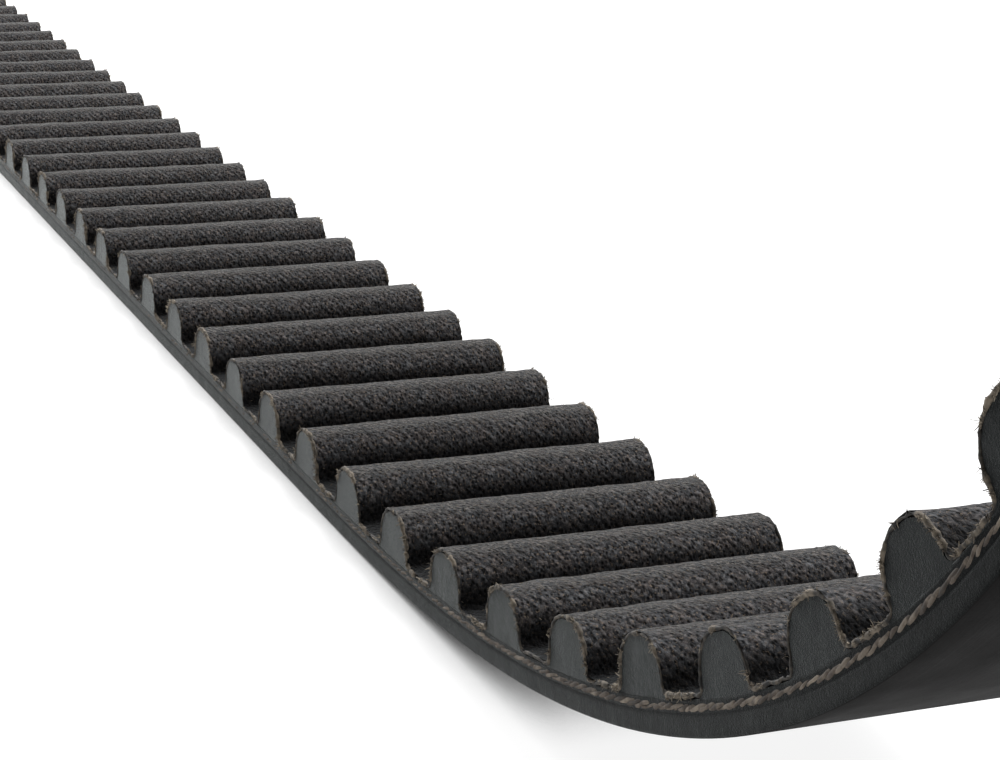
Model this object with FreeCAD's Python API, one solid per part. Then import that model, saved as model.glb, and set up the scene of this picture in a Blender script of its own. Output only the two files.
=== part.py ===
import FreeCAD, Part
import math
import os

os.makedirs("parts", exist_ok=True)

# Endless timing belt with moulded curvilinear teeth, standing on its back with the loop in the XZ plane.
# All sizes are in millimetres. X runs along the loop, Y across the belt, Z is up.
# The cord line is the neutral line of the belt, and every height in the section is counted from it.
PITCH = 9.525
TOOTH_COUNT = 120
WIDTH = 22.0
BACK_DEPTH = 1.45          # cord line down to the smooth back
LAND_HEIGHT = 0.70         # cord line up to the cloth between two teeth
TIP_HEIGHT = 3.70          # cord line up to the cloth on a tooth tip
TOOTH_TIP_WIDTH = 4.36     # where the flanks would meet the tip
TOOTH_ROOT_WIDTH = 5.36    # where the flanks would meet the land
TIP_RADIUS = 2.20
ROOT_RADIUS = 0.45
FACING_THICKNESS = 0.25
CORD_DIAMETER = 0.80
CORD_SPACING = 1.34
CORD_STRANDS = 17

# Loop: a straight run on each side of the bottom centre, then a bend that tightens steadily up to its apex.
QUARTER = TOOTH_COUNT // 4
STRAIGHT_PITCHES = 16.8
BEND_PITCHES = QUARTER - STRAIGHT_PITCHES
BEND_POWER = 2.275         # how the direction of the belt grows along the bend

# Sections: where along the loop each hinge lies, in pitches from the bottom centre.
RUN_HINGES = (5, 13)
SHOULDER_HINGE = 21
FLEX = math.radians(8.0)   # largest turn of a run hinge; the shoulder turns as far back, the apex twice that
EASE = math.radians(0.35)  # extra opening of every cut, so that no two sections touch
END_GAP = 0.02             # each section stops this far short of its hinge line


def heading(pitches):
    """Direction of the cord line in the first quarter of the loop, in radians."""
    beyond = max(0.0, pitches - STRAIGHT_PITCHES)
    return 0.5 * math.pi * (beyond / BEND_PITCHES) ** BEND_POWER


def first_quarter():
    """Cord line points at the middle of each land, from the bottom centre to the apex of the bend."""
    points = [(0.0, BACK_DEPTH)]
    for index in range(QUARTER):
        turn = heading(index + 1) - heading(index)
        along = 0.5 * (heading(index + 1) + heading(index))
        chord = PITCH if turn < 1e-9 else 2.0 * PITCH / turn * math.sin(0.5 * turn)
        x, z = points[-1]
        points.append((x + chord * math.cos(along), z + chord * math.sin(along)))
    return points


QUARTER_POINTS = first_quarter()
APEX_Z = QUARTER_POINTS[-1][1]


def station(index):
    """Cord line point and direction at a land middle, counted round the loop from the bottom centre."""
    if index < 0:
        x, z, angle = station(-index)
        return -x, z, -angle
    if index <= QUARTER:
        x, z = QUARTER_POINTS[index]
        return x, z, heading(index)
    x, z = QUARTER_POINTS[2 * QUARTER - index]
    return x, 2.0 * APEX_Z - z, math.pi - heading(2 * QUARTER - index)


class Cell:
    """One pitch of the belt, from one land middle to the next, with its tooth in the middle."""

    def __init__(self, index):
        x0, z0, a0 = station(index)
        x1, z1, a1 = station(index + 1)
        self.turn = a1 - a0
        self.angle = 0.5 * (a0 + a1)
        self.straight = abs(self.turn) < 1e-9
        self.radius = None if self.straight else PITCH / self.turn
        sag = 0.0 if self.straight else self.radius * (1.0 - math.cos(0.5 * self.turn))
        self.x = 0.5 * (x0 + x1) + sag * math.sin(self.angle)
        self.z = 0.5 * (z0 + z1) - sag * math.cos(self.angle)

    def point(self, along, height, y=0.0):
        """Loop position of a point given along the tangent and up the tooth of this cell."""
        c = math.cos(self.angle)
        s = math.sin(self.angle)
        return FreeCAD.Vector(self.x + along * c - height * s, y, self.z + along * s + height * c)

    def on_layer(self, fraction, height, y=0.0):
        """A point of a layer that bends with the cord line; fraction runs from -0.5 to 0.5."""
        if self.straight:
            return self.point(fraction * PITCH, height, y)
        reach = self.radius - height
        a = fraction * self.turn
        return self.point(reach * math.sin(a), self.radius - reach * math.cos(a), y)


def line(a, b):
    return Part.LineSegment(a, b).toShape()


def arc(a, b, c):
    return Part.Arc(a, b, c).toShape()


def layer_edges(cells, height, y=0.0):
    """Edges of a layer line at one height over several pitches, one arc for each curved pitch."""
    edges = []
    start = None
    for position, cell in enumerate(cells):
        if start is None:
            start = cell.on_layer(-0.5, height, y)
        end = cell.on_layer(0.5, height, y)
        if not cell.straight:
            edges.append(arc(start, cell.on_layer(0.0, height, y), end))
            start = None
            continue
        last = position + 1 == len(cells)
        if last or not cells[position + 1].straight:
            edges.append(line(start, end))
            start = None
    return edges


def unit(vector):
    size = math.hypot(vector[0], vector[1])
    return vector[0] / size, vector[1] / size


class Tooth:
    """Outline of a tooth in its cell: tip corners, straight flanks and root fillets."""

    def __init__(self, cell):
        self.cell = cell
        run = 0.5 * (TOOTH_ROOT_WIDTH - TOOTH_TIP_WIDTH)
        rise = TIP_HEIGHT - LAND_HEIGHT
        self.out = unit((rise, run))
        up = (-self.out[1], self.out[0])
        level = self.out[0] * 0.5 * TOOTH_ROOT_WIDTH + self.out[1] * LAND_HEIGHT
        tip_z = TIP_HEIGHT - TIP_RADIUS
        tip_x = (level - TIP_RADIUS - self.out[1] * tip_z) / self.out[0]
        self.tip_centre = (tip_x, tip_z)
        base = (self.out[0] * (level + ROOT_RADIUS), self.out[1] * (level + ROOT_RADIUS))
        if cell.straight:
            step = (LAND_HEIGHT + ROOT_RADIUS - base[1]) / up[1]
            self.root_centre = (base[0] + up[0] * step, base[1] + up[1] * step)
            self.down = (0.0, -1.0)
            return
        reach = cell.radius - LAND_HEIGHT - ROOT_RADIUS
        gap = (base[0], base[1] - cell.radius)
        half = up[0] * gap[0] + up[1] * gap[1]
        rest = gap[0] ** 2 + gap[1] ** 2 - reach ** 2
        step = -half - math.sqrt(half ** 2 - rest)
        self.root_centre = (base[0] + up[0] * step, base[1] + up[1] * step)
        self.down = unit((self.root_centre[0], self.root_centre[1] - cell.radius))

    def edges(self, inset, y=0.0):
        """Outline from the rear land to the front land, moved into the tooth by the inset."""
        fillet = ROOT_RADIUS + inset
        corner = TIP_RADIUS - inset
        rx, rz = self.root_centre
        tx, tz = self.tip_centre
        ox, oz = self.out
        fillet_mid = unit((self.down[0] - ox, self.down[1] - oz))
        corner_mid = unit((ox, oz + 1.0))
        foot = (rx + self.down[0] * fillet, rz + self.down[1] * fillet)
        hollow = (rx + fillet_mid[0] * fillet, rz + fillet_mid[1] * fillet)
        low = (rx - ox * fillet, rz - oz * fillet)
        high = (tx + ox * corner, tz + oz * corner)
        shoulder = (tx + corner_mid[0] * corner, tz + corner_mid[1] * corner)
        crown = (tx, tz + corner)
        front = [self.cell.point(p[0], p[1], y) for p in (foot, hollow, low, high, shoulder, crown)]
        rear = [self.cell.point(-p[0], p[1], y) for p in (foot, hollow, low, high, shoulder, crown)]
        self.rear_foot = rear[0]
        self.front_foot = front[0]
        return [
            arc(rear[0], rear[1], rear[2]),
            line(rear[2], rear[3]),
            arc(rear[3], rear[4], rear[5]),
            line(rear[5], front[5]),
            arc(front[5], front[4], front[3]),
            line(front[3], front[2]),
            arc(front[2], front[1], front[0]),
        ]

    def foot_fraction(self, height):
        """How far along the pitch the fillet of this inset leaves the land."""
        inset = LAND_HEIGHT - height
        x = self.root_centre[0] + self.down[0] * (ROOT_RADIUS + inset)
        if self.cell.straight:
            return x / PITCH
        return math.asin(x / (self.cell.radius - height)) / self.cell.turn


def land_piece(cell, start, end, height, y):
    """Land line of one cell between two fractions of the pitch."""
    a = cell.on_layer(start, height, y)
    b = cell.on_layer(end, height, y)
    if cell.straight:
        return line(a, b)
    return arc(a, cell.on_layer(0.5 * (start + end), height, y), b)


def toothed_edges(cells, inset, y=0.0):
    """Teeth and lands in one line, at the cloth surface or one cloth thickness below it."""
    edges = []
    height = LAND_HEIGHT - inset
    for cell in cells:
        tooth = Tooth(cell)
        foot = tooth.foot_fraction(height)
        edges.append(land_piece(cell, -0.5, -foot, height, y))
        edges.extend(tooth.edges(inset, y))
        edges.append(land_piece(cell, foot, 0.5, height, y))
    return edges


def across(edges):
    """Solid made by carrying a closed outline across the full width of the belt."""
    face = Part.Face(Part.Wire(Part.__sortEdges__(edges)))
    return face.extrude(FreeCAD.Vector(0.0, WIDTH, 0.0))


def end_cut(index, side, facing_relief, backing_relief):
    """Wedge that trims the end of a section at its hinge; side is 1 at a start and -1 at an end."""
    x, z, angle = station(index)
    c = math.cos(angle)
    s = math.sin(angle)
    below = BACK_DEPTH + 1.0
    above = LAND_HEIGHT + 1.0
    corners = [
        (END_GAP, 0.0),
        (END_GAP + below * math.tan(backing_relief), -below),
        (-2.0, -below),
        (-2.0, above),
        (END_GAP + above * math.tan(facing_relief), above),
    ]
    points = []
    for along, height in corners:
        t = along * side
        points.append(FreeCAD.Vector(x + t * c - height * s, -0.5 * WIDTH - 1.0, z + t * s + height * c))
    points.append(points[0])
    face = Part.Face(Part.makePolygon(points))
    return face.extrude(FreeCAD.Vector(0.0, WIDTH + 2.0, 0.0))


def reliefs(index):
    """Half angles of the cut at a hinge, on the facing side and on the backing side."""
    from_centre = abs(index)
    if from_centre == QUARTER:
        return EASE, FLEX + EASE
    if from_centre in (SHOULDER_HINGE, 2 * QUARTER - SHOULDER_HINGE):
        return EASE, 0.5 * FLEX + EASE
    if from_centre == 2 * QUARTER:
        return EASE, EASE
    return 0.5 * FLEX + EASE, EASE


def cord_strands(cells):
    """Parallel cord strands along the section; the outer two are bared by the cut edges of the belt."""
    strands = []
    first = -0.5 * (CORD_STRANDS - 1) * CORD_SPACING
    for number in range(CORD_STRANDS):
        y = first + number * CORD_SPACING
        path = Part.Wire(layer_edges(cells, 0.0, y))
        start = path.Edges[0]
        origin = start.valueAt(start.FirstParameter)
        tangent = start.tangentAt(start.FirstParameter)
        ring = Part.Wire(Part.makeCircle(0.5 * CORD_DIAMETER, origin, tangent))
        strands.append(path.makePipe(Part.Face(ring)))
    return strands


def trimmed(shape, cuts):
    return shape.cut(cuts)


def build_section(number, start, end):
    cells = [Cell(index) for index in range(start, end)]
    y = -0.5 * WIDTH
    bed_height = LAND_HEIGHT - FACING_THICKNESS
    cuts = Part.makeCompound([
        end_cut(start, 1, *reliefs(start)),
        end_cut(end, -1, *reliefs(end)),
    ])
    head = cells[0]
    tail = cells[-1]

    outline = layer_edges(cells, -BACK_DEPTH, y)
    outline.append(line(tail.on_layer(0.5, -BACK_DEPTH, y), tail.on_layer(0.5, bed_height, y)))
    outline.extend(layer_edges(cells, bed_height, y))
    outline.append(line(head.on_layer(-0.5, bed_height, y), head.on_layer(-0.5, -BACK_DEPTH, y)))
    body = trimmed(across(outline), cuts)

    strands = cord_strands(cells)
    inside = []
    for strand in strands:
        box = strand.BoundBox
        cut_by_edge = box.YMax > 0.5 * WIDTH or box.YMin < -0.5 * WIDTH
        inside.append(strand.common(body) if cut_by_edge else strand.cut(cuts))
    cords = Part.makeCompound([solid for piece in inside for solid in piece.Solids])
    backing = body.cut(Part.makeCompound(strands))

    teeth = []
    for cell in cells:
        tooth = Tooth(cell)
        foot = tooth.foot_fraction(bed_height)
        tooth_outline = tooth.edges(FACING_THICKNESS, y)
        tooth_outline.append(land_piece(cell, -foot, foot, bed_height, y))
        teeth.append(across(tooth_outline))

    cloth = toothed_edges(cells, 0.0, y)
    cloth.append(line(tail.on_layer(0.5, LAND_HEIGHT, y), tail.on_layer(0.5, bed_height, y)))
    cloth.extend(toothed_edges(cells, FACING_THICKNESS, y))
    cloth.append(line(head.on_layer(-0.5, bed_height, y), head.on_layer(-0.5, LAND_HEIGHT, y)))
    facing = trimmed(across(cloth), cuts)

    label = "%02d" % number
    backing.exportStep("parts/backing_" + label + ".step")
    cords.exportStep("parts/tensile_cords_" + label + ".step")
    Part.makeCompound(teeth).exportStep("parts/teeth_" + label + ".step")
    facing.exportStep("parts/tooth_facing_" + label + ".step")
    return backing, cords, teeth, facing


# Section 1 is the bottom centre; 2 to 8 climb the +X side to the top centre, 9 to 15 the -X side.
ARM = (RUN_HINGES[0], RUN_HINGES[1], SHOULDER_HINGE, QUARTER)
CLIMB = ARM + tuple(2 * QUARTER - hinge for hinge in reversed(ARM[:-1])) + (2 * QUARTER,)
SECTIONS = [(-RUN_HINGES[0], RUN_HINGES[0])]
SECTIONS += [(low, high) for low, high in zip(CLIMB[:-1], CLIMB[1:])]
SECTIONS += [(-high, -low) for low, high in zip(CLIMB[:-1], CLIMB[1:])]

for section_number, (section_start, section_end) in enumerate(SECTIONS, start=1):
    build_section(section_number, section_start, section_end)
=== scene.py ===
import math

import bpy
import numpy as np
from mathutils import Matrix, Vector


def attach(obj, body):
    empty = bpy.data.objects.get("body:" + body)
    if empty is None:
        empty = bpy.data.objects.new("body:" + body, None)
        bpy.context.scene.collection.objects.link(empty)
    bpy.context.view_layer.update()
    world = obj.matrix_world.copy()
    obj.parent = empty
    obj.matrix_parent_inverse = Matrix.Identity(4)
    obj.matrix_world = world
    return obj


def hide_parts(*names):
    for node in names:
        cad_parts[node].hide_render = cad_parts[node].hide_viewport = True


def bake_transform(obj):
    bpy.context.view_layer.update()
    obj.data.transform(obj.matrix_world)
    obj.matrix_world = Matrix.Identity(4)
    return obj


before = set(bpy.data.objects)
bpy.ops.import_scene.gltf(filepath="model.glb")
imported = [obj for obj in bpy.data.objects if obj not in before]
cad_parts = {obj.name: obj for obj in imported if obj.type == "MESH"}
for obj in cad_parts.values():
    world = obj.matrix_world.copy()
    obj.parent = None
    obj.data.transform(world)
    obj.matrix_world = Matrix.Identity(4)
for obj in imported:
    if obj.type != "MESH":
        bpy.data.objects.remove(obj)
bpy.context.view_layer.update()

MM = 0.001

# ------------------------------------------------ belt dimensions, in millimetres, as in the CAD

PITCH = 9.525
TEETH = 120
HALF_WIDTH = 11.0
BACK = 1.45  # backing below the cord line
LAND = 0.70  # land between the teeth, above the cord line
TIP = 3.70  # top of a tooth, above the cord line
TIP_WIDTH = 4.36
ROOT_WIDTH = 5.36
TIP_R = 2.20
ROOT_R = 0.45
CLOTH = 0.25  # thickness of the facing cloth
CLOTH_PER_PITCH = 14.2  # length of cloth that one pitch takes up
CORD_R = 0.40
CORD_SPACING = 1.34
CORDS = 17

# ------------------------------------------------ the loop that the belt follows
# Places along the loop are counted in pitches from the bottom centre, towards +x.

QUARTER = TEETH // 4
STRAIGHT = 16.8  # pitches from the bottom centre to the start of the bend
BEND_POWER = 2.275  # how the bend tightens towards the end of the loop
FLAT = 1e-9  # a pitch that turns less than this counts as straight


def heading(s):
    """Direction of the cord line at s pitches, within the first quarter of the loop."""
    u = max(0.0, s - STRAIGHT) / (QUARTER - STRAIGHT)
    return 0.5 * math.pi * u**BEND_POWER


def loop_cells():
    """Middle point, direction and turn of each pitch round the loop, from the bottom centre."""
    pts = [(0.0, BACK)]
    for i in range(QUARTER):
        a0, a1 = heading(i), heading(i + 1)
        turn, mid = a1 - a0, 0.5 * (a0 + a1)
        chord = PITCH if turn < FLAT else 2 * PITCH / turn * math.sin(turn / 2)
        pts.append((pts[-1][0] + chord * math.cos(mid), pts[-1][1] + chord * math.sin(mid)))
    apex = pts[-1][1]
    at = []
    for i in range(TEETH + 1):
        j = min(i, TEETH - i)
        if j <= QUARTER:
            x, z, a = pts[j][0], pts[j][1], heading(j)
        else:
            x, z = pts[2 * QUARTER - j]
            z, a = 2 * apex - z, math.pi - heading(2 * QUARTER - j)
        at.append((x, z, a) if i == j else (-x, z, 2 * math.pi - a))
    cells = []
    for i in range(TEETH):
        (x0, z0, a0), (x1, z1, a1) = at[i], at[i + 1]
        turn, a = a1 - a0, 0.5 * (a0 + a1)
        sag = 0.0 if turn < FLAT else PITCH / turn * (1 - math.cos(turn / 2))
        x, z = 0.5 * (x0 + x1) + sag * math.sin(a), 0.5 * (z0 + z1) - sag * math.cos(a)
        cells.append((x, z, a, turn))
    return np.array(cells)


CELLS = loop_cells()


def place(cell, t, n):
    """Loop-plane points from a cell's own tangent and normal distances."""
    x, z, a, _ = CELLS[cell % TEETH]
    return x + t * math.cos(a) - n * math.sin(a), z + t * math.sin(a) + n * math.cos(a)


def on_cord(s):
    """Loop-plane points and directions of the cord line at s pitches."""
    s = np.asarray(s, float)
    i = np.floor(s + FLAT).astype(int)
    c = CELLS[i % TEETH]
    f = s - i - 0.5
    turn = c[:, 3]
    bent = turn > FLAT
    r = np.where(bent, PITCH / np.where(bent, turn, 1), 0)
    b = f * turn
    t = np.where(bent, r * np.sin(b), f * PITCH)
    n = np.where(bent, r * (1 - np.cos(b)), 0)
    a = c[:, 2]
    x = c[:, 0] + t * np.cos(a) - n * np.sin(a)
    z = c[:, 1] + t * np.sin(a) + n * np.cos(a)
    return x, z, a + b


def span(s0, s1, per_pitch):
    """Even steps from s0 to s1, and the cord line there; the ends stay inside their own pitches."""
    s = np.linspace(s0, s1, int(round((s1 - s0) * per_pitch)) + 1)
    x, z, a = on_cord(np.clip(s, s0 + FLAT, s1 - FLAT))
    return s, x, z, a


def swept(x, z, a, n):
    """Loop-plane points at normal distances n from each point of the cord line."""
    return x[:, None] - n * np.sin(a)[:, None], z[:, None] + n * np.cos(a)[:, None]


def tooth_half(turn, inset):
    """Half of the cloth line of a pitch, from the tip middle to the land middle, as fine points."""
    tip_steps, root_steps, land_steps = 40, 16, 6
    rise, run = TIP - LAND, 0.5 * (ROOT_WIDTH - TIP_WIDTH)
    o = np.array([rise, run]) / math.hypot(rise, run)
    up = np.array([-o[1], o[0]])
    level = o[0] * 0.5 * ROOT_WIDTH + o[1] * LAND
    tz = TIP - TIP_R
    tip = np.array([(level - TIP_R - o[1] * tz) / o[0], tz])
    base = o * (level + ROOT_R)
    straight = turn < FLAT
    if straight:
        root = base + up * ((LAND + ROOT_R - base[1]) / up[1])
        down = np.array([0.0, -1.0])
    else:
        big = PITCH / turn
        gap = base - (0, big)
        half = up @ gap
        reach = -half - math.sqrt(half * half - gap @ gap + (big - LAND - ROOT_R) ** 2)
        root = base + up * reach
        down = (root - (0, big)) / np.linalg.norm(root - (0, big))
    q = np.linspace(math.pi / 2, math.atan2(o[1], o[0]), tip_steps)
    tip_arc = tip + (TIP_R - inset) * np.stack([np.cos(q), np.sin(q)], 1)
    b0, b1 = (math.atan2(v[1], v[0]) % (2 * math.pi) for v in (-o, down))
    q = np.linspace(b0, b1, root_steps)
    root_arc = root + (ROOT_R + inset) * np.stack([np.cos(q), np.sin(q)], 1)
    if straight:
        land = np.array([[0.5 * PITCH, LAND - inset]])
    else:
        r = big - LAND + inset
        q = np.linspace(math.asin(root_arc[-1][0] / r), 0.5 * turn, land_steps)[1:]
        land = np.stack([r * np.sin(q), big - r * np.cos(q)], 1)
    return np.concatenate([np.array([[0.0, TIP - inset]]), tip_arc, root_arc, land])


def resample(pts, count):
    """The same line with evenly spaced points."""
    d = np.concatenate([[0], np.cumsum(np.linalg.norm(np.diff(pts, axis=0), axis=1))])
    q = np.linspace(0, d[-1], count)
    return np.stack([np.interp(q, d, pts[:, 0]), np.interp(q, d, pts[:, 1])], 1)


def mirrored(half):
    """A whole profile from the half that starts at its middle."""
    return np.concatenate([half[::-1] * (-1, 1), half[1:]])


def cloth_line(first, last, inset, per_cell):
    """Cloth line over whole pitches: loop-plane points, outward normals and length of cloth."""
    px, pz, u = [], [], []
    for i in range(first, last):
        skip = 1 if i > first else 0
        half = resample(tooth_half(CELLS[i % TEETH][3], inset), per_cell // 2 + 1)
        line = mirrored(half)[skip:]
        x, z = place(i, line[:, 0], line[:, 1])
        px.append(x)
        pz.append(z)
        u.append(i * CLOTH_PER_PITCH + np.linspace(0, CLOTH_PER_PITCH, per_cell + 1)[skip:])
    x, z, u = np.concatenate(px), np.concatenate(pz), np.concatenate(u)
    dx, dz = np.gradient(x), np.gradient(z)
    size = np.hypot(dx, dz)
    return x, z, -dz / size, dx / size, u


# ------------------------------------------------ repeatable noise for small unevenness


def hashed(ix, iy, seed):
    """A number from 0 to 1 for each whole-numbered place; the constants only mix the bits."""
    h = (ix * 374761393 + iy * 668265263 + seed * 974634777) & 0xFFFFFFFF
    h = ((h ^ (h >> 13)) * 1274126177) & 0xFFFFFFFF
    return ((h ^ (h >> 16)) & 0xFFFF) / 65535.0


def noise(x, y, seed):
    """Smooth noise from -1 to 1 with features one unit across."""
    x, y = np.broadcast_arrays(np.asarray(x, float), np.asarray(y, float))
    ix, iy = np.floor(x).astype(np.int64), np.floor(y).astype(np.int64)
    fx, fy = x - ix, y - iy
    fx, fy = fx * fx * (3 - 2 * fx), fy * fy * (3 - 2 * fy)
    a = hashed(ix, iy, seed) * (1 - fx) + hashed(ix + 1, iy, seed) * fx
    b = hashed(ix, iy + 1, seed) * (1 - fx) + hashed(ix + 1, iy + 1, seed) * fx
    return (a * (1 - fy) + b * fy) * 2 - 1


def uneven(value, x, y, *layers):
    """A value with noise on it, in layers of (height, x frequency, y frequency, seed)."""
    for height, fx, fy, seed in layers:
        value = value + height * noise(x * fx, y * fy, seed)
    return value


# ------------------------------------------------ mesh helpers


def mesh_object(name, parts, material, uv=None, smooth=True):
    """One object from parts of (points in millimetres, quads, tone or None).

    Each part's quads count from its own first point. tone is stored per point for the materials.
    """
    base, shifted = 0, []
    for points, quads, _ in parts:
        shifted.append(quads + base)
        base += len(points)
    verts = np.concatenate([points for points, _, _ in parts]).astype(np.float32) * MM
    quads = np.concatenate(shifted).astype(np.int32)
    me = bpy.data.meshes.new(name)
    me.vertices.add(len(verts))
    me.vertices.foreach_set("co", verts.ravel())
    me.loops.add(quads.size)
    me.loops.foreach_set("vertex_index", quads.ravel())
    me.polygons.add(len(quads))
    me.polygons.foreach_set("loop_start", np.arange(len(quads), dtype=np.int32) * 4)
    me.update(calc_edges=True)
    me.validate()
    me.polygons.foreach_set("use_smooth", np.full(len(me.polygons), smooth))
    if uv is not None:
        layer = me.uv_layers.new(name="along")
        loops = np.zeros(len(me.loops), np.int32)
        me.loops.foreach_get("vertex_index", loops)
        layer.data.foreach_set("uv", np.asarray(uv, np.float32)[loops].ravel())
    if parts[0][2] is not None:
        tone = np.concatenate([tone for _, _, tone in parts]).astype(np.float32)
        me.attributes.new("tone", "FLOAT", "POINT").data.foreach_set("value", tone)
    me.materials.append(material)
    ob = bpy.data.objects.new(name, me)
    bpy.context.scene.collection.objects.link(ob)
    return ob


def grid_quads(rows, cols, wrap=False):
    """Quads between the rows of a grid of points; wrap closes each row into a ring."""
    r = np.arange(rows - 1)[:, None]
    c = np.arange(cols if wrap else cols - 1)[None, :]
    a = r * cols + c
    b = r * cols + (c + 1) % cols
    return np.stack([a, b, b + cols, a + cols], -1).reshape(-1, 4)


def flipped(quads, flip=True):
    return quads[:, ::-1] if flip else quads


def points(x, y, z):
    return np.stack([x, y, z], -1).reshape(-1, 3)


def circle(sides):
    return np.arange(sides) * 2 * math.pi / sides


def tubes(paths, radius, tone, sides=3):
    """Many short tubes as one part; paths is (count, steps, 3) and radius is (count, steps)."""
    count, steps, _ = paths.shape
    d = np.gradient(paths, axis=1)
    d /= np.linalg.norm(d, axis=2, keepdims=True) + 1e-9
    ref = np.where(np.abs(d[..., 1:2]) > 0.8, [[[1.0, 0, 0]]], [[[0, 1.0, 0]]])
    e1 = np.cross(d, ref)
    e1 /= np.linalg.norm(e1, axis=2, keepdims=True) + 1e-9
    e2 = np.cross(d, e1)
    a = circle(sides)[None, None, :, None]
    ring = e1[:, :, None] * np.cos(a) + e2[:, :, None] * np.sin(a)
    v = paths[:, :, None] + ring * radius[:, :, None, None]
    size = steps * sides
    q = grid_quads(steps, sides, wrap=True)[None] + (np.arange(count) * size)[:, None, None]
    return v.reshape(-1, 3), q.reshape(-1, 4), np.repeat(tone, size)


# ------------------------------------------------ material helpers

BLACK, WHITE = (0.0, 0.0, 0.0), (1.0, 1.0, 1.0)


def grey(level):
    return (level, level, level)


def new_material(name):
    m = bpy.data.materials.new(name)
    m.use_nodes = True
    nt = m.node_tree
    nt.nodes.clear()
    out = nt.nodes.new("ShaderNodeOutputMaterial")
    b = nt.nodes.new("ShaderNodeBsdfPrincipled")
    nt.links.new(b.outputs[0], out.inputs[0])
    return m, nt, b


def node(nt, kind, **values):
    """A new node; each value sets a property of that name or else the input of that name."""
    n = nt.nodes.new(kind)
    for k, v in values.items():
        if hasattr(n, k):
            setattr(n, k, v)
        else:
            n.inputs[k.replace("_", " ")].default_value = v
    return n


def ramp(nt, source, *stops):
    """Colours or greys for a value, from stops of (value, colour)."""
    r = nt.nodes.new("ShaderNodeValToRGB")
    r.color_ramp.elements.remove(r.color_ramp.elements[1])
    for i, (p, c) in enumerate(stops):
        e = r.color_ramp.elements[0] if i == 0 else r.color_ramp.elements.new(p)
        e.position = p
        e.color = (*c, 1)
    nt.links.new(source, r.inputs[0])
    return r.outputs[0]


def math_node(nt, op, *terms):
    n = nt.nodes.new("ShaderNodeMath")
    n.operation = op
    for i, v in enumerate(terms):
        if isinstance(v, (int, float)):
            n.inputs[i].default_value = v
        else:
            nt.links.new(v, n.inputs[i])
    return n.outputs[0]


def add(nt, a, b):
    return math_node(nt, "ADD", a, b)


def times(nt, a, b):
    return math_node(nt, "MULTIPLY", a, b)


def mix_colour(nt, fac, a, b, blend="MIX"):
    n = nt.nodes.new("ShaderNodeMix")
    n.data_type = "RGBA"
    n.blend_type = blend
    for i, v in ((0, fac), (6, a), (7, b)):
        if isinstance(v, (int, float)):
            n.inputs[i].default_value = v
        elif isinstance(v, tuple):
            n.inputs[i].default_value = (*v, 1)
        else:
            nt.links.new(v, n.inputs[i])
    return n.outputs[2]


def multiply_colour(nt, a, b):
    return mix_colour(nt, 1.0, a, b, "MULTIPLY")


def noise_node(nt, vector, scale, detail, rough):
    n = node(nt, "ShaderNodeTexNoise", Scale=scale, Detail=detail, Roughness=rough)
    nt.links.new(vector, n.inputs["Vector"])
    return n.outputs[0]


def cells_node(nt, scale, lean, randomness):
    """Flat Voronoi cells on the cloth, leaning by an angle in degrees."""
    n = node(nt, "ShaderNodeTexVoronoi", voronoi_dimensions="2D", Scale=1.0, Randomness=randomness)
    nt.links.new(uv_coords(nt, (*scale, 1.0), math.radians(lean)), n.inputs["Vector"])
    return n


def mapped(nt, source, scale, rotation=0.0):
    mp = nt.nodes.new("ShaderNodeMapping")
    mp.inputs["Scale"].default_value = scale
    mp.inputs["Rotation"].default_value = (0, 0, rotation)
    nt.links.new(source, mp.inputs[0])
    return mp.outputs[0]


def object_coords(nt):
    """Object coordinates in millimetres."""
    tc = nt.nodes.new("ShaderNodeTexCoord")
    return mapped(nt, tc.outputs["Object"], (1 / MM, 1 / MM, 1 / MM))


def uv_coords(nt, scale=(1, 1, 1), rotation=0.0):
    """Millimetres along the cloth or the back, and millimetres across the belt."""
    uv = node(nt, "ShaderNodeUVMap", uv_map="along")
    return mapped(nt, uv.outputs[0], scale, rotation)


def stored_tone(nt):
    return node(nt, "ShaderNodeAttribute", attribute_name="tone").outputs["Fac"]


def set_bump(nt, b, height, distance, strength):
    n = node(nt, "ShaderNodeBump", Strength=strength, Distance=distance)
    nt.links.new(height, n.inputs["Height"])
    nt.links.new(n.outputs[0], b.inputs["Normal"])


def set_sheen(b, weight, roughness, tint):
    b.inputs["Sheen Weight"].default_value = weight
    b.inputs["Sheen Roughness"].default_value = roughness
    b.inputs["Sheen Tint"].default_value = (*tint, 1)


# ------------------------------------------------ materials; scales are per millimetre


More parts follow.
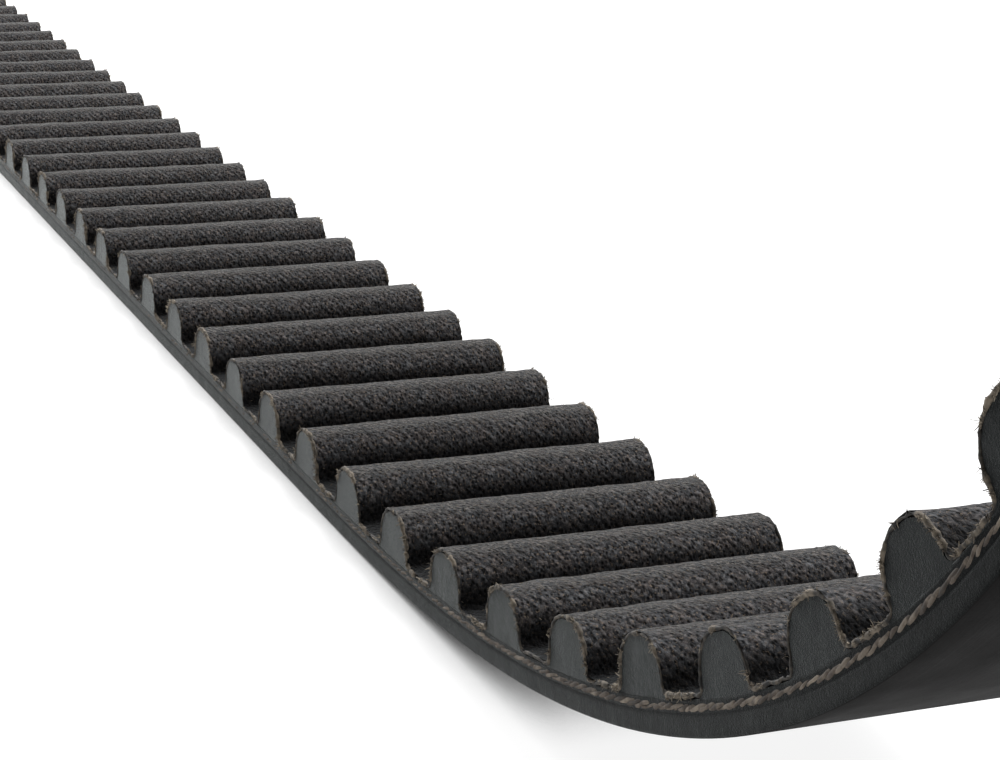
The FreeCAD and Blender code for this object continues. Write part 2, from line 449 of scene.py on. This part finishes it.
def rubber_cut(name, shade_by, sheen):
    """Matt cut edge of the belt: fine grain, mottling and a little dust."""
    m, nt, b = new_material(name)
    co = object_coords(nt)
    grain = noise_node(nt, co, scale=7.0, detail=5.0, rough=0.65)
    cloud = noise_node(nt, co, scale=0.55, detail=4.0, rough=0.55)
    dust = noise_node(nt, co, scale=3.3, detail=6.0, rough=0.8)
    dark, light, milky = (tuple(c * shade_by for c in q) for q in (
        (0.0030, 0.0037, 0.0039), (0.0104, 0.0122, 0.0126), (0.0125, 0.0144, 0.0148)))
    base = ramp(nt, grain, (0.28, dark), (0.72, light))
    base = mix_colour(nt, ramp(nt, cloud, (0.38, BLACK), (0.66, grey(0.60))), base, milky)
    specks = ramp(nt, dust, (0.64, BLACK), (0.74, grey(0.50)))
    base = mix_colour(nt, specks, base, (0.085, 0.078, 0.066))
    nt.links.new(base, b.inputs["Base Color"])
    rough = ramp(nt, cloud, (0.2, grey(0.38)), (0.8, grey(0.48)))
    nt.links.new(rough, b.inputs["Roughness"])
    b.inputs["Specular IOR Level"].default_value = 0.03
    set_sheen(b, sheen, roughness=0.27, tint=(0.94, 1.0, 0.99))
    fine = add(nt, noise_node(nt, co, scale=9.0, detail=4.0, rough=0.7), times(nt, cloud, 2.0))
    set_bump(nt, b, fine, distance=0.00004, strength=0.9)
    return m


def rubber_back():
    """Smooth moulded back with faint grinding lines along the belt."""
    m, nt, b = new_material("back_rubber")
    lines = noise_node(nt, uv_coords(nt, (0.05, 6.0, 1.0)), scale=1.0, detail=5.0, rough=0.6)
    co = object_coords(nt)
    cloud = noise_node(nt, co, scale=0.25, detail=3.0, rough=0.5)
    grain = noise_node(nt, co, scale=8.0, detail=4.0, rough=0.65)
    base = ramp(nt, grain, (0.3, (0.0042, 0.0040, 0.0041)), (0.7, (0.0098, 0.0094, 0.0094)))
    ground = ramp(nt, lines, (0.55, BLACK), (0.8, grey(0.35)))
    base = mix_colour(nt, ground, base, (0.016, 0.0145, 0.0135))
    nt.links.new(base, b.inputs["Base Color"])
    rough = ramp(nt, cloud, (0.3, grey(0.58)), (0.7, grey(0.72)))
    nt.links.new(rough, b.inputs["Roughness"])
    b.inputs["Specular IOR Level"].default_value = 0.03
    height = add(nt, lines, times(nt, grain, 0.6))
    set_bump(nt, b, height, distance=0.00002, strength=0.7)
    return m


def cloth_material():
    """Woven nylon twill soaked in dark rubber: slanted wales, pits between yarns, pale fibres."""
    m, nt, b = new_material("facing_twill")
    uv = uv_coords(nt)
    sep = nt.nodes.new("ShaderNodeSeparateXYZ")
    nt.links.new(uv, sep.inputs[0])
    u, v = sep.outputs[0], sep.outputs[1]
    wale_across, wale_along, lean = 0.72, 0.94, -36
    wander = noise_node(nt, uv, scale=0.8, detail=4.0, rough=0.7)
    wander = times(nt, math_node(nt, "SUBTRACT", wander, 0.5), 1.6)
    across = math_node(nt, "DIVIDE", v, wale_across)
    phase = math_node(nt, "SUBTRACT", across, math_node(nt, "DIVIDE", u, wale_along))
    phase = add(nt, phase, wander)
    wale = math_node(nt, "SINE", times(nt, phase, 2 * math.pi))
    wale = add(nt, times(nt, wale, 0.5), 0.5)
    # Pits where the yarns cross: short gaps lying along the wales, sunk in the bump; their dark
    # colour is painted shade.
    pits = cells_node(nt, (1.9, 2.7), lean, randomness=1.0)
    pit = ramp(nt, pits.outputs["Distance"], (0.06, BLACK), (0.34, WHITE))
    # Crowns of single yarns, each with its own shade.
    crown = cells_node(nt, (3.8, 4.9), lean, randomness=0.9)
    shade = nt.nodes.new("ShaderNodeSeparateColor")
    nt.links.new(crown.outputs["Color"], shade.inputs[0])
    dome = math_node(nt, "SUBTRACT", 1.0, crown.outputs["Distance"])
    fine = noise_node(nt, uv, scale=5.5, detail=5.0, rough=0.8)
    fuzz = noise_node(nt, uv, scale=11.0, detail=3.0, rough=0.7)
    tone = add(nt, times(nt, shade.outputs[0], 0.21), times(nt, fine, 0.64))
    tone = add(nt, tone, times(nt, wale, 0.12))
    # Painted shade: the tone is darkened in the pits.
    tone = times(nt, tone, add(nt, times(nt, pit, 0.55), 0.45))
    base = ramp(nt, tone, (0.20, (0.0026, 0.0025, 0.0027)), (0.34, (0.0200, 0.0202, 0.0222)),
                (0.52, (0.0650, 0.0665, 0.0715)), (0.72, (0.2050, 0.2060, 0.2120)))
    # Painted shade: the cloth is darker towards the foot of each tooth, and a little darker on the
    # very crest.
    height_at = stored_tone(nt)
    painted_tooth_shade = ramp(nt, height_at, (0.0, grey(0.08)), (0.28, grey(0.20)), (0.66, WHITE),
                (0.84, WHITE), (1.0, grey(0.46)))
    base = multiply_colour(nt, base, painted_tooth_shade)
    # Warmer patches, and tan flecks of bare yarn.
    patch = noise_node(nt, uv, scale=0.9, detail=4.0, rough=0.7)
    warm = multiply_colour(nt, base, (1.20, 1.00, 0.88))
    base = mix_colour(nt, ramp(nt, patch, (0.42, BLACK), (0.62, grey(0.8))), base, warm)
    flecks = noise_node(nt, uv, scale=5.2, detail=3.0, rough=0.6)
    flecks = ramp(nt, flecks, (0.585, BLACK), (0.645, grey(0.85)))
    # The tan flecks take the same painted shade.
    base = mix_colour(nt, flecks, base, multiply_colour(nt, painted_tooth_shade, (0.205, 0.160, 0.122)))
    # The crests are rubbed: broken yarns show there as pale, tan flecks.
    crest = ramp(nt, height_at, (0.91, BLACK), (0.99, WHITE))
    rubbed = noise_node(nt, uv, scale=3.0, detail=5.0, rough=0.85)
    rubbed = ramp(nt, rubbed, (0.52, BLACK), (0.58, grey(0.80)))
    base = mix_colour(nt, multiply_colour(nt, crest, rubbed), base, (0.162, 0.147, 0.130))
    nt.links.new(base, b.inputs["Base Color"])
    b.inputs["Roughness"].default_value = 0.88
    b.inputs["Specular IOR Level"].default_value = 0.07
    set_sheen(b, 0.20, roughness=0.35, tint=(0.88, 0.95, 1.0))
    height = add(nt, times(nt, wale, 0.20), times(nt, dome, 0.40))
    height = add(nt, height, times(nt, fuzz, 0.55))
    height = times(nt, height, add(nt, times(nt, pit, 0.5), 0.5))
    set_bump(nt, b, height, distance=0.00014, strength=1.0)
    return m


def fibre_material(name, dark, mid, pale):
    """Cut nylon and glass fibres: tan and grey, every fibre its own shade."""
    m, nt, b = new_material(name)
    mottle = noise_node(nt, object_coords(nt), scale=4.5, detail=4.0, rough=0.7)
    shade = add(nt, times(nt, stored_tone(nt), 0.6), times(nt, mottle, 0.5))
    base = ramp(nt, shade, (0.22, dark), (0.5, mid), (0.85, pale))
    nt.links.new(base, b.inputs["Base Color"])
    b.inputs["Roughness"].default_value = 0.75
    b.inputs["Specular IOR Level"].default_value = 0.35
    set_bump(nt, b, mottle, distance=0.00005, strength=0.8)
    return m


MAT_CUT = rubber_cut("cut_rubber", shade_by=1.0, sheen=0.55)
# The backing's cut side is the same cut rubber, made darker by shade_by=0.60 as painted shade.
MAT_CUT_BACK_SHADED = rubber_cut("cut_backing_painted_shade", shade_by=0.60, sheen=0.30)
MAT_BACK = rubber_back()
MAT_CLOTH = cloth_material()
MAT_EDGE = fibre_material(
    "cloth_edge", (0.008, 0.0078, 0.0075), (0.045, 0.038, 0.030), (0.180, 0.148, 0.110))
MAT_CORD = fibre_material(
    "glass_cord", (0.016, 0.0130, 0.0100), (0.070, 0.053, 0.040), (0.235, 0.196, 0.152))
MAT_LINT = fibre_material(
    "loose_fibre", (0.022, 0.020, 0.018), (0.130, 0.106, 0.080), (0.340, 0.290, 0.220))

# ------------------------------------------------ pieces; sizes are in millimetres

UNDER_CLOTH = LAND - CLOTH  # top of the rubber on the lands, above the cord line
TUBE_SIDES = 8  # sides of the strands, yarns and cloth edges
NEAR_BEND_MM = 236  # where the near bend begins to steepen, along the cord line
CORNER = 0.14  # rounding of the back's two long corners
# Profile of the backing's cut side, as (distance in from the edge, height above the cord line).
# The step near height 0 is the channel that the outer strand lies in.
BACKING_EDGE = (
    (CORNER, -BACK), (0.04, -BACK + 0.04), (0.0, -BACK + CORNER), (0.0, -1.0), (0.0, -0.50),
    (0.01, -0.40), (0.05, -0.33), (0.06, -0.27), (0.015, -0.22), (0.015, 0.24), (0.0, 0.30),
    (0.0, UNDER_CLOTH),
)


def backing(name, s0, s1):
    """Backing rubber: smooth back, and cut sides with a channel for the outer strand."""
    edge_band, cut_band, cut_depth, top_inset = 0.12, 0.11, 0.02, 1.0
    s, x, z, a = span(s0, s1, per_pitch=8)
    w = HALF_WIDTH
    right = [(w - inset, n) for inset, n in BACKING_EDGE]
    across = [(y, -BACK) for y in np.linspace(-w + CORNER, w - CORNER, 15)[1:-1]]
    left = [(-y, n) for y, n in reversed(right)]
    top = [(w - top_inset, UNDER_CLOTH), (-w + top_inset, UNDER_CLOTH)]
    y, n = np.array(left + across + right + top).T
    px, pz = swept(x, z, a, n[None])
    along = s[:, None] * PITCH
    dents = uneven(0.0, along, n[None], (0.012, 0.5, 2.0, 71), (0.008, 2.0, 5.0, 72))
    cut = np.where(np.abs(y) > w - edge_band, np.sign(y), 0)
    py = y[None] + cut[None] * (dents - cut_depth)
    quads = grid_quads(len(s), len(y), wrap=True)
    uv = np.stack([np.broadcast_to(along, px.shape).ravel(), py.ravel()], 1)
    ob = mesh_object(name, [(points(px, py, pz), quads, None)], MAT_BACK, uv=uv)
    # The cut sides take the darker copy of the cut rubber, which is painted shade.
    ob.data.materials.append(MAT_CUT_BACK_SHADED)
    side = np.abs(y[quads % len(y)]).min(axis=1) > w - cut_band
    ob.data.polygons.foreach_set("material_index", side.astype(np.int32))
    return ob


def tooth_rubber(name, cells):
    """Cut end faces and top of each tooth, just under the cloth."""
    samples, rows, foot_margin, overlap = 60, 5, 0.25, 0.02
    w = HALF_WIDTH - 0.015
    parts = []
    for i in cells:
        half = resample(tooth_half(CELLS[i % TEETH][3], CLOTH), samples)
        foot = np.argmax(np.abs(half[:, 0]) > 0.5 * ROOT_WIDTH + foot_margin)
        line = mirrored(half[: foot + 1])
        x, z = place(i, line[:, 0], line[:, 1])
        bx, bz = place(i, line[:, 0], np.full(len(line), UNDER_CLOTH - overlap))
        k = np.linspace(0, 1, rows)[:, None]
        gx, gz = x * (1 - k) + bx * k, z * (1 - k) + bz * k
        face = grid_quads(rows, len(line))
        for side in (-1, 1):
            end = points(gx, np.full(gx.shape, side * w), gz)
            parts.append((end, flipped(face, side < 0), None))
        top = np.stack([np.stack([x, np.full(len(x), side * w), z], -1) for side in (-1, 1)])
        parts.append((top.reshape(-1, 3), grid_quads(2, len(line)), None))
    return mesh_object(name, parts, MAT_CUT, smooth=False)


# Height of the cloth above the land, from 0 to 1, against its length along one straight pitch.
STRAIGHT_TOOTH = mirrored(resample(tooth_half(0.0, 0.0), 101))
CLOTH_U = np.linspace(0, CLOTH_PER_PITCH, len(STRAIGHT_TOOTH))
CLOTH_HEIGHT = (STRAIGHT_TOOTH[:, 1] - LAND) / (TIP - LAND)


def facing(name, first, last):
    """Cloth over the teeth and lands, a little lumpy, and more so near its cut edges."""
    per_cell, across, edge_inset, edge_zone = 56, 72, 0.02, 0.8
    x, z, nx, nz, u = cloth_line(first, last, 0.0, per_cell)
    v = np.linspace(-HALF_WIDTH + edge_inset, HALF_WIDTH - edge_inset, across)
    along = u[:, None]
    lump = uneven(0.0, along, v[None], (0.045, 0.55, 0.5, 3), (0.03, 1.6, 1.5, 7),
                  (0.018, 3.1, 3.3, 9))
    edge = np.clip((HALF_WIDTH - np.abs(v)) / edge_zone, 0, 1)
    lump = lump - 0.02 + 0.05 * (1 - edge)[None] * noise(along * 1.4, v[None] * 0 + 5, 11)
    px = x[:, None] + nx[:, None] * lump
    pz = z[:, None] + nz[:, None] * lump
    py = np.broadcast_to(v, px.shape)
    uv = np.stack([np.broadcast_to(along, px.shape).ravel(), py.ravel()], 1)
    height = np.interp(u % CLOTH_PER_PITCH, CLOTH_U, CLOTH_HEIGHT)
    tone = np.broadcast_to(height[:, None], px.shape).ravel()
    part = (points(px, py, pz), flipped(grid_quads(len(u), across)), tone)
    return mesh_object(name, [part], MAT_CLOTH, uv=uv)


def frayed(u, side):
    """From 0 to 1, where the cut edge of the cloth has opened into pale yarn ends."""
    slow = uneven(0.0, u, side, (0.5, 0.17, 3.0, 61), (0.9, 0.8, 5.0, 62), (0.35, 2.2, 7.0, 63))
    f = np.clip((slow + 0.12) / 0.45, 0, 1)
    return f * f * (3 - 2 * f)


def cloth_edges(name, first, last):
    """Cut edges of the cloth: a lumpy line of yarn ends on both sides of the belt."""
    mid_cloth, depth, thin, frayed_more = 0.12, 0.055, 0.095, 0.06
    x, z, nx, nz, u = cloth_line(first, last, mid_cloth, per_cell=96)
    quads = grid_quads(len(u), TUBE_SIDES, wrap=True)
    a = circle(TUBE_SIDES)
    parts = []
    for side in (-1, 1):
        fray = frayed(u, side)
        swell = uneven(thin + frayed_more * fray, u, side, (0.03, 3.1, 3.0, 21),
                       (0.025, 6.3, 7.0, 22))
        shift = uneven(0.0, u, side, (0.04, 1.3, 5.0, 23), (0.04, 3.1, 2.0, 27))
        out = uneven(0.0, u, side, (0.03, 2.6, 11.0, 24))
        cx, cz = x + nx * shift, z + nz * shift
        cy = side * (HALF_WIDTH - depth + out)
        px = cx[:, None] + nx[:, None] * np.cos(a) * swell[:, None]
        pz = cz[:, None] + nz[:, None] * np.cos(a) * swell[:, None]
        py = cy[:, None] + np.sin(a) * swell[:, None] * 0.9 * side
        tone = uneven(0.26 + 0.46 * fray, u, side, (0.18, 2.5, 9.0, 25), (0.32, 6.0, 4.0, 26))
        tone = np.repeat(np.clip(tone, 0, 1), TUBE_SIDES)
        parts.append((points(px, py, pz), flipped(quads, side > 0), tone))
    return mesh_object(name, parts, MAT_EDGE)


def cords(name, s0, s1):
    """Seventeen strands; the outer ones are three twisted yarns shaved by the cut edge."""
    yarns, lay = 3, 2.9  # lay is the length of one turn of the twist
    yarn_r, twist_up, twist_in, depth, proud, hidden_tone = 0.120, 0.105, 0.08, 0.13, 0.03, 0.5
    q = circle(TUBE_SIDES)
    s, x, z, a = span(s0, s1, per_pitch=10)
    px, pz = swept(x, z, a, np.cos(q) * CORD_R)
    quads = flipped(grid_quads(len(s), TUBE_SIDES, wrap=True))
    parts = []
    for k in range(1, CORDS - 1):
        y0 = (k - (CORDS - 1) / 2) * CORD_SPACING
        py = np.broadcast_to(y0 + np.sin(q) * CORD_R, px.shape)
        parts.append((points(px, py, pz), quads, np.full(px.size, hidden_tone)))
    s, x, z, a = span(s0, s1, per_pitch=56)
    quads = grid_quads(len(s), TUBE_SIDES, wrap=True)
    mm = s * PITCH
    for side in (-1, 1):
        # The strand dips under the smeared rubber in places and frays out of it in others.
        # It dips a little deeper from the near bend on.
        dip = uneven(0.0, mm, side, (0.060, 0.03, 6.0, 19), (0.025, 0.4, 8.0, 42))
        dip = 0.056 + dip + np.clip(mm - NEAR_BEND_MM, 0, 40) * 0.0006
        dip = uneven(dip, mm, side, (0.020, 1.7, 4.0, 43))
        drift = uneven(0.0, mm, side, (0.6, 0.5, 3.0, 44), (0.4, 1.9, 2.0, 45))
        for yarn in range(yarns):
            turn = mm * 2 * math.pi / lay * side + yarn * 2 * math.pi / yarns + drift
            cn = 0.03 + twist_up * np.cos(turn) + 0.04 * noise(mm * 0.7, side * 2.0 + yarn, 31)
            cy = HALF_WIDTH - depth + twist_in * np.sin(turn) - dip
            r = yarn_r + 0.035 * noise(mm * 2.3, side * 3.0 + yarn, 32)
            y = np.minimum(cy[:, None] + np.sin(q) * r[:, None], HALF_WIDTH + proud)
            px, pz = swept(x, z, a, cn[:, None] + np.cos(q) * r[:, None])
            tone = 0.38 + 0.10 * yarn + 0.25 * noise(mm * 3.0, yarn * 3.0 + side, 33)
            tone = tone + 0.25 * noise(mm * 0.9, yarn * 5.0 + side, 34)
            tone = np.repeat(np.clip(tone, 0, 1), TUBE_SIDES)
            parts.append((points(px, side * y, pz), flipped(quads, side > 0), tone))
    return mesh_object(name, parts, MAT_CORD)


def bent_fibres(start, direction, length, curl, radius):
    """Paths and radii of short fibres, each curling away from its own direction."""
    steps = 4
    k = np.linspace(0, 1, steps)
    direction = direction / (np.linalg.norm(direction, axis=1, keepdims=True) + 1e-9)
    paths = start[:, None] + direction[:, None] * (length[:, None] * k)[..., None]
    paths = paths + curl[:, None] * (length[:, None] * k**2)[..., None]
    return paths, radius[:, None] * (1.1 - 0.5 * k)[None]


def tufts(rng, line, count, side):
    """Frayed yarn ends along one cut edge, gathered where frayed() says that it has opened."""
    x, z, nx, nz, u = line
    tx, tz = nz, -nx
    per_tuft, least = 5, 0.12  # least is the weight of a place that hasn't frayed
    weight = least + frayed(u, side)
    i = np.repeat(rng.choice(len(x), count, p=weight / weight.sum()), per_tuft)
    n = len(i)
    tilt = np.repeat(rng.uniform(-1, 1, count), per_tuft) + rng.uniform(-0.5, 0.5, n)
    rise = np.repeat(rng.uniform(-0.5, 0.5, count), per_tuft) + rng.uniform(-0.3, 0.3, n)
    out = rng.uniform(0.05, 0.55, n)
    jt, jn = rng.uniform(-0.09, 0.09, (n, 2)).T
    y = side * (HALF_WIDTH - 0.02) + 0 * x[i]
    start = np.stack([x[i] + tx[i] * jt + nx[i] * jn, y, z[i] + tz[i] * jt + nz[i] * jn], 1)
    d = np.stack([tx[i] * tilt + nx[i] * rise, side * out, tz[i] * tilt + nz[i] * rise], 1)
    length = rng.uniform(0.08, 0.30, n)
    curl = rng.uniform(-0.45, 0.45, (n, 3))
    paths, radius = bent_fibres(start, d, length, curl, rng.uniform(0.018, 0.036, n))
    tone = np.repeat(rng.uniform(0.1, 1.0, count), per_tuft) + rng.uniform(-0.2, 0.2, n)
    return tubes(paths, radius, np.clip(tone, 0, 1))


def stray_ends(rng, line, n):
    """A few longer, thinner ends on both cut edges."""
    x, z, nx, nz, _ = line
    tx, tz = nz, -nx
    i = rng.integers(0, len(x), n)
    side = rng.choice([-1.0, 1.0], n)
    start = np.stack([x[i], side * (HALF_WIDTH - 0.03), z[i]], 1)
    along, off = rng.uniform(-1, 1, n), rng.uniform(-0.3, 0.8, n)
    out = side * rng.uniform(0.1, 0.6, n)
    d = np.stack([tx[i] * along + nx[i] * off, out, tz[i] * along + nz[i] * off], 1)
    curl = rng.uniform(-0.6, 0.6, (n, 3))
    length = rng.uniform(0.25, 0.65, n)
    paths, radius = bent_fibres(start, d, length, curl, rng.uniform(0.010, 0.018, n))
    return tubes(paths, radius, rng.uniform(0, 0.7, n))


def nap(rng, line, n):
    """Fine fibres standing up a little all over the cloth."""
    x, z, nx, nz, _ = line
    tx, tz = nz, -nx
    i = rng.integers(0, len(x), n)
    y = rng.uniform(-HALF_WIDTH + 0.1, HALF_WIDTH - 0.1, n)
    ang = rng.uniform(0, 2 * math.pi, n)
    start = np.stack([x[i] + nx[i] * 0.08, y, z[i] + nz[i] * 0.08], 1)
    up = rng.uniform(0.1, 0.9, n)
    d = np.stack([tx[i] * np.cos(ang) + nx[i] * up, np.sin(ang),
                  tz[i] * np.cos(ang) + nz[i] * up], 1)
    curl = rng.uniform(-0.4, 0.4, (n, 3)) - 0.5 * np.stack([nx[i], 0 * up, nz[i]], 1)
    length = rng.uniform(0.10, 0.30, n)
    paths, radius = bent_fibres(start, d, length, curl, rng.uniform(0.012, 0.020, n))
    return tubes(paths, radius, rng.uniform(0, 0.85, n))


def loose_fibres(name, first, last, seed):
    """Tufts and stray ends along the cut edges of the cloth, and a nap over all of it."""
    tufts_per_pitch, strays_per_pitch, nap_per_pitch = 44, 5, 220
    rng = np.random.default_rng(seed)
    line = cloth_line(first, last, 0.10, per_cell=240)
    cells = last - first
    parts = [
        tufts(rng, line, cells * tufts_per_pitch, -1.0),
        tufts(rng, line, cells * tufts_per_pitch, 1.0),
        stray_ends(rng, line, cells * strays_per_pitch),
        nap(rng, line, cells * nap_per_pitch),
    ]
    return mesh_object(name, parts, MAT_LINT)


# ------------------------------------------------ pieces, and the last span of each side on its body
# Spans run from the middle of one section to the middle of the next, across one hinge. The last
# span of each side runs from its last section's middle to the open top centre and goes on its
# body; the other spans are baked in place.

HINGES = (5, 13, 21, 30, 39, 47, 55)
MIDDLES = (0, 9, 17, 25.5, 34.5, 43, 51, 57.5, 60)
LAST = len(HINGES)
NODE_NUMBERS = {"right": 2, "left": 9}  # number of the first section's CAD nodes on each side
SEEDS = {"right": 100, "left": 150}
BLEND_MARGIN = 0.97  # keeps the ends from bend_limits just inside the pitches that all layers share
NODES = ("backing", "tensile_cords", "teeth", "tooth_facing")


def body_name(side, order):
    return "bottom_centre" if order == 0 else "%s_%d" % (side, order)


def bend_limits(side, order):
    """Where the bend across a hinge starts and ends, inside the pitches that all layers share."""
    def at(s):
        (x,), (z,), (a,) = on_cord([s if side == "right" else TEETH - s])
        return x, z, a

    hx, hz, ha = at(HINGES[order])
    sign = 1 if side == "right" else -1
    t = np.array([math.cos(ha), math.sin(ha)]) * sign
    ends = []
    for s in (math.ceil(MIDDLES[order]), math.floor(MIDDLES[order + 1])):
        x, z, _ = at(s)
        reach = float((x - hx) * t[0] + (z - hz) * t[1]) * BLEND_MARGIN
        ends.append(Vector((hx + t[0] * reach, 0, hz + t[1] * reach)) * MM)
    return ends


for side in ("right", "left"):
    for order in range(LAST + 1):
        low, high = MIDDLES[order], MIDDLES[order + 1]
        c0, c1 = math.floor(low), math.floor(high)
        if side == "left":
            low, high = TEETH - high, TEETH - low
            c0, c1 = TEETH - c1, TEETH - c0
        tag = "%s_%d" % (side, order + 1)
        pieces = {
            "backing": backing("backing_span_" + tag, low, high),
            "tensile_cords": cords("cord_span_" + tag, low, high),
            "teeth": tooth_rubber("tooth_rubber_" + tag, range(c0, c1)),
            "tooth_facing": facing("facing_span_" + tag, c0, c1),
            "edges": cloth_edges("facing_edge_" + tag, c0, c1),
            "lint": loose_fibres("loose_fibre_" + tag, c0, c1, SEEDS[side] + order),
        }
        for key, ob in pieces.items():
            if order < LAST:
                start, end = bend_limits(side, order)
                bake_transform(ob)
            else:
                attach(ob, body_name(side, LAST))
        for key in NODES:
            if order < LAST:
                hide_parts("%s_%02d" % (key, NODE_NUMBERS[side] + order))
            if order == 0 and side == "right":
                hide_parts(key + "_01")

# ------------------------------------------------ floor, light and camera; sizes are in metres


def floor():
    """Pale table, bright of its own, so that it stays white behind and under the dark belt."""
    half = 6.0
    me = bpy.data.meshes.new("floor")
    corners = [(-half, -half, 0), (half, -half, 0), (half, half, 0), (-half, half, 0)]
    me.from_pydata(corners, [], [(0, 1, 2, 3)])
    ob = bpy.data.objects.new("floor", me)
    bpy.context.scene.collection.objects.link(ob)
    m, nt, b = new_material("pale_floor")
    b.inputs["Base Color"].default_value = (0.18, 0.18, 0.18, 1)
    b.inputs["Roughness"].default_value = 0.9
    b.inputs["Emission Color"].default_value = (1, 1, 1, 1)
    # Close under the belt the bright table darkens, as a contact shadow does.
    near = node(nt, "ShaderNodeAmbientOcclusion", samples=6, Distance=0.0034)
    glow = ramp(nt, near.outputs["AO"], (0.24, grey(0.03)), (0.55, grey(0.72)), (0.82, grey(0.90)))
    nt.links.new(glow, b.inputs["Emission Strength"])
    m.cycles.emission_sampling = "NONE"
    me.materials.append(m)


def area(name, place_at, aim, size, power):
    light = bpy.data.lights.new(name, "AREA")
    light.shape = "RECTANGLE"
    light.size, light.size_y = size
    light.energy = power
    ob = bpy.data.objects.new(name, light)
    ob.location = place_at
    ob.rotation_mode = "QUATERNION"
    ob.rotation_quaternion = (Vector(aim) - Vector(place_at)).to_track_quat("-Z", "Y")
    bpy.context.scene.collection.objects.link(ob)


floor()
area("top_back", (-0.25, 0.35, 0.75), aim=(0.10, 0.0, 0.02), size=(1.2, 0.9), power=25.0)
area("low_back", (-0.55, -0.08, 0.19), aim=(0.05, 0.0, 0.01), size=(0.30, 0.15), power=5.0)

world = bpy.data.worlds.new("studio")
world.use_nodes = True
world.node_tree.nodes["Background"].inputs["Color"].default_value = (0.97, 0.985, 1.0, 1)
world.node_tree.nodes["Background"].inputs["Strength"].default_value = 0.11
bpy.context.scene.world = world
bpy.context.scene.view_settings.view_transform = "Standard"
bpy.context.scene.view_settings.look = "None"

# Camera: a longer lens close to the near bend, looking down and back along the lower run. Its
# place is in pitches from a point on the near cut edge, CAM_FROM pitches round the loop and at
# the height of the cord line at the bottom.
FOCAL_PX, IMAGE_PX, SENSOR_MM = 2350.7, 1000.0, 36.0
YAW, PITCH_DOWN, ROLL = 0.3889, 0.2855, 0.0306
CAM_AT = (12.1364, -5.0447, 5.7703)
CAM_FROM = 21.5
from_x = float(on_cord([CAM_FROM])[0][0])
eye = Vector((CAM_AT[0] * PITCH + from_x, CAM_AT[1] * PITCH - HALF_WIDTH,
              CAM_AT[2] * PITCH + BACK)) * MM
forward = Vector((-math.cos(PITCH_DOWN) * math.cos(YAW), math.cos(PITCH_DOWN) * math.sin(YAW),
                  -math.sin(PITCH_DOWN)))
right = forward.cross(Vector((0, 0, 1))).normalized()
up = right.cross(forward)
cos_roll, sin_roll = math.cos(ROLL), math.sin(ROLL)
right, up = right * cos_roll + up * sin_roll, up * cos_roll - right * sin_roll
camera = bpy.data.objects.new("camera", bpy.data.cameras.new("camera"))
camera.data.sensor_width = SENSOR_MM
camera.data.lens = FOCAL_PX * SENSOR_MM / IMAGE_PX
camera.data.clip_start, camera.data.clip_end = 0.005, 20.0
camera.matrix_world = Matrix((
    (right.x, up.x, -forward.x, eye.x), (right.y, up.y, -forward.y, eye.y),
    (right.z, up.z, -forward.z, eye.z), (0, 0, 0, 1)))
bpy.context.scene.collection.objects.link(camera)
bpy.context.scene.camera = camera

bpy.context.view_layer.update()
